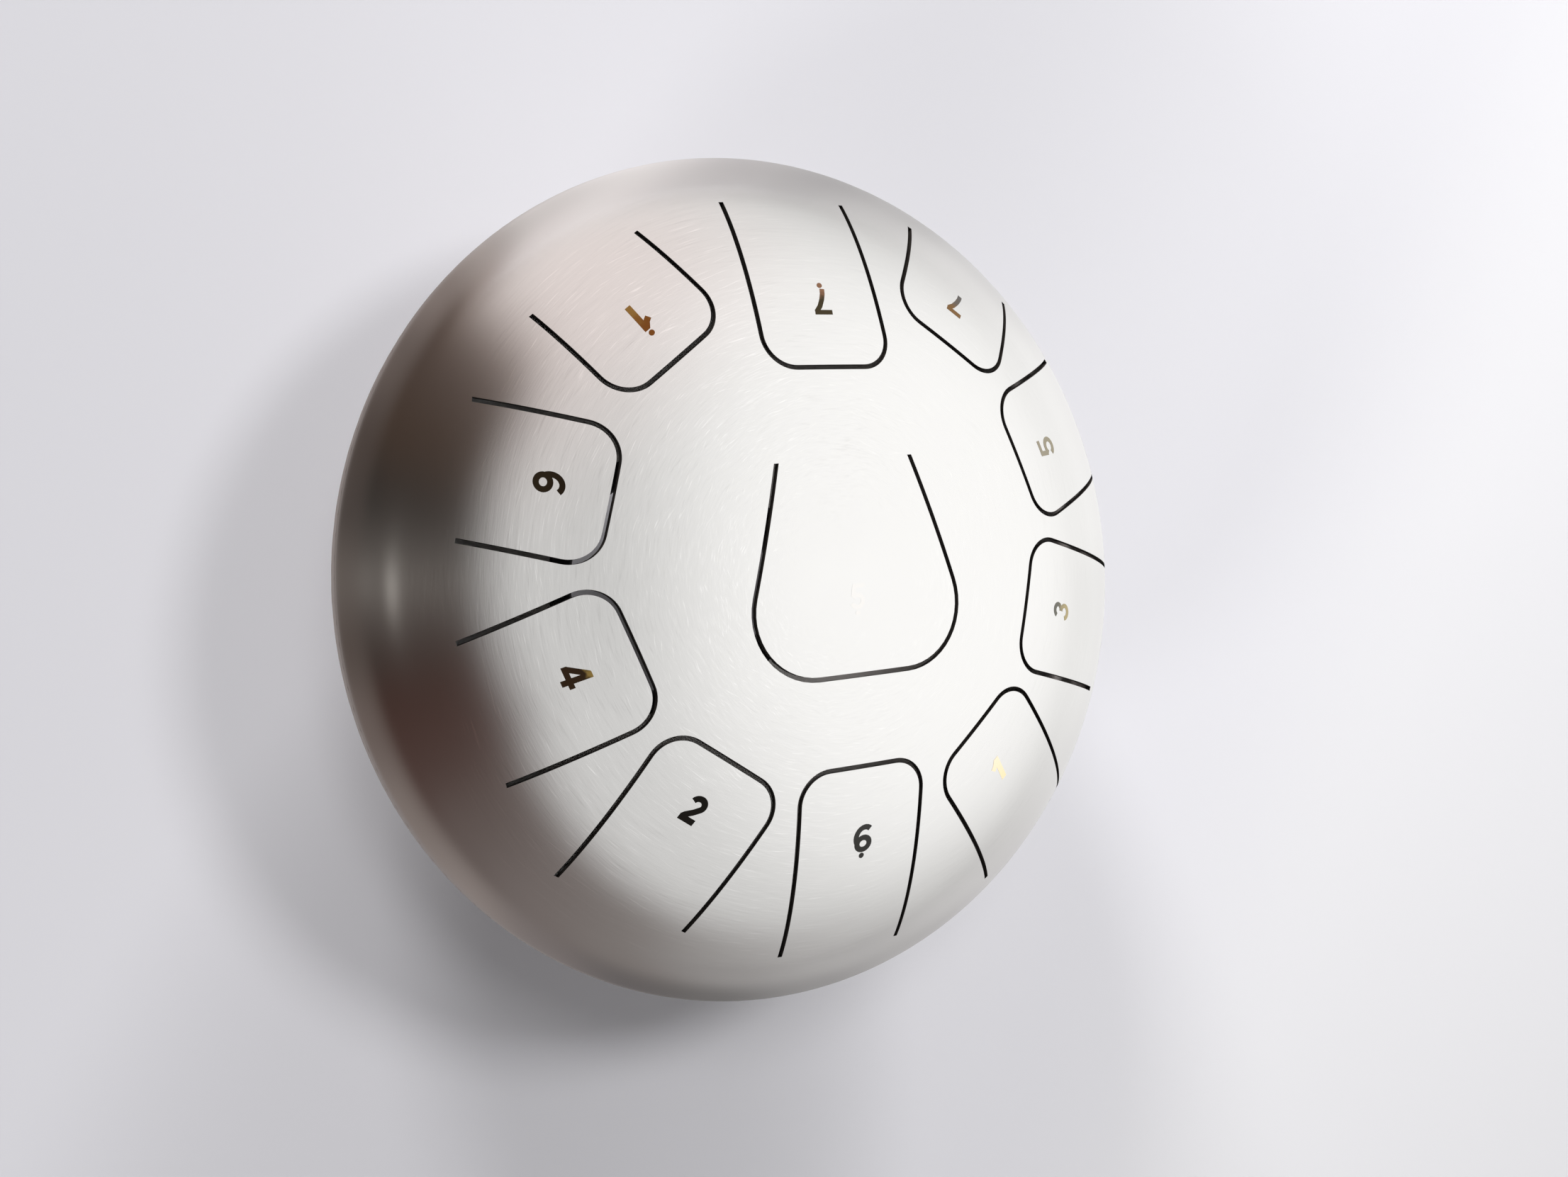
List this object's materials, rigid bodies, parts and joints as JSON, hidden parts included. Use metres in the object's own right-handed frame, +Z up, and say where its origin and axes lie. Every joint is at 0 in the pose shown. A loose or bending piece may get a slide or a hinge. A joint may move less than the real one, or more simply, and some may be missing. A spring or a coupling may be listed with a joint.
{
  "type": "steel tongue drum",
  "caption": "Hollow lens-shaped steel drum whose upper dome is slotted into sprung tongues; the lower dome has a rubber-edged sound hole and stands on rubber feet.",
  "frame": {"origin": "on the floor under the drum's axis, at the bottom centre of its bounding box", "axes": "+Z up along the drum's axis; -Y faces the player, so that the centre tongue's tip points to -Y and +X is to the player's right"},
  "size_m": [0.2, 0.2, 0.0981],
  "materials": {
    "brushed_steel": "satin brushed",
    "tongue_steel": "satin brushed",
    "weld_steel": "ground weld",
    "black_rubber": "matt",
    "plated_steel": "zinc plated"
  },
  "bodies": {
    "shell": {"top_shell": "brushed_steel", "bottom_shell": "brushed_steel", "rim_weld": "weld_steel", "hole_edging": "black_rubber", "foot_rear_right": "black_rubber", "foot_rear_left": "black_rubber", "foot_front_left": "black_rubber", "foot_front_right": "black_rubber", "foot_screws": "plated_steel", "foot_washers": "plated_steel", "foot_nuts": "plated_steel"},
    "tongue_low_6": {"tongue_low_6": "tongue_steel"},
    "tongue_low_7": {"tongue_low_7": "tongue_steel"},
    "tongue_1": {"tongue_1": "tongue_steel"},
    "tongue_2": {"tongue_2": "tongue_steel"},
    "tongue_3": {"tongue_3": "tongue_steel"},
    "tongue_4": {"tongue_4": "tongue_steel"},
    "tongue_5": {"tongue_5": "tongue_steel"},
    "tongue_6": {"tongue_6": "tongue_steel"},
    "tongue_7": {"tongue_7": "tongue_steel"},
    "tongue_high_1": {"tongue_high_1": "tongue_steel"},
    "tongue_low_5": {"tongue_low_5": "tongue_steel"}
  },
  "joints": [
    {"name": "tongue_low_6_flex", "type": "hinge", "parent": "shell", "child": "tongue_low_6", "pos_m": [0.00671, -0.08603, 0.0743], "axis": [-0.9999, -0.0108, 0], "range_deg": [-0.4, 0.4], "stiffness_Nm_per_rad": 40},
    {"name": "tongue_low_7_flex", "type": "hinge", "parent": "shell", "child": "tongue_low_7", "pos_m": [0.00206, 0.08533, 0.07504], "axis": [0.9997, 0.0248, 0], "range_deg": [-0.4, 0.4], "stiffness_Nm_per_rad": 43.6},
    {"name": "tongue_1_flex", "type": "hinge", "parent": "shell", "child": "tongue_1", "pos_m": [0.06332, -0.06609, 0.0694], "axis": [-0.7985, -0.602, 0], "range_deg": [-0.4, 0.4], "stiffness_Nm_per_rad": 43.6},
    {"name": "tongue_2_flex", "type": "hinge", "parent": "shell", "child": "tongue_2", "pos_m": [-0.04785, -0.06923, 0.07594], "axis": [-0.8772, 0.4801, 0], "range_deg": [-0.4, 0.4], "stiffness_Nm_per_rad": 47.5},
    {"name": "tongue_3_flex", "type": "hinge", "parent": "shell", "child": "tongue_3", "pos_m": [0.08908, -0.01714, 0.07027], "axis": [-0.3201, -0.9474, 0], "range_deg": [-0.4, 0.4], "stiffness_Nm_per_rad": 46.3},
    {"name": "tongue_4_flex", "type": "hinge", "parent": "shell", "child": "tongue_4", "pos_m": [-0.07764, -0.0255, 0.07765], "axis": [-0.2932, 0.9561, 0], "range_deg": [-0.4, 0.4], "stiffness_Nm_per_rad": 53.9},
    {"name": "tongue_5_flex", "type": "hinge", "parent": "shell", "child": "tongue_5", "pos_m": [0.08446, 0.0357, 0.06922], "axis": [0.415, -0.9098, 0], "range_deg": [-0.4, 0.4], "stiffness_Nm_per_rad": 53.2},
    {"name": "tongue_6_flex", "type": "hinge", "parent": "shell", "child": "tongue_6", "pos_m": [-0.07835, 0.02605, 0.07708], "axis": [0.2103, 0.9776, 0], "range_deg": [-0.4, 0.4], "stiffness_Nm_per_rad": 57.7},
    {"name": "tongue_7_flex", "type": "hinge", "parent": "shell", "child": "tongue_7", "pos_m": [0.0516, 0.07301, 0.07157], "axis": [0.8387, -0.5446, 0], "range_deg": [-0.4, 0.4], "stiffness_Nm_per_rad": 66.9},
    {"name": "tongue_high_1_flex", "type": "hinge", "parent": "shell", "child": "tongue_high_1", "pos_m": [-0.04838, 0.06803, 0.07643], "axis": [0.808, 0.5892, 0], "range_deg": [-0.4, 0.4], "stiffness_Nm_per_rad": 68.6},
    {"name": "tongue_low_5_flex", "type": "hinge", "parent": "shell", "child": "tongue_low_5", "pos_m": [0.00259, 0.02512, 0.09585], "axis": [0.9992, 0.0401, 0], "range_deg": [-0.4, 0.4], "stiffness_Nm_per_rad": 41.8}
  ]
}
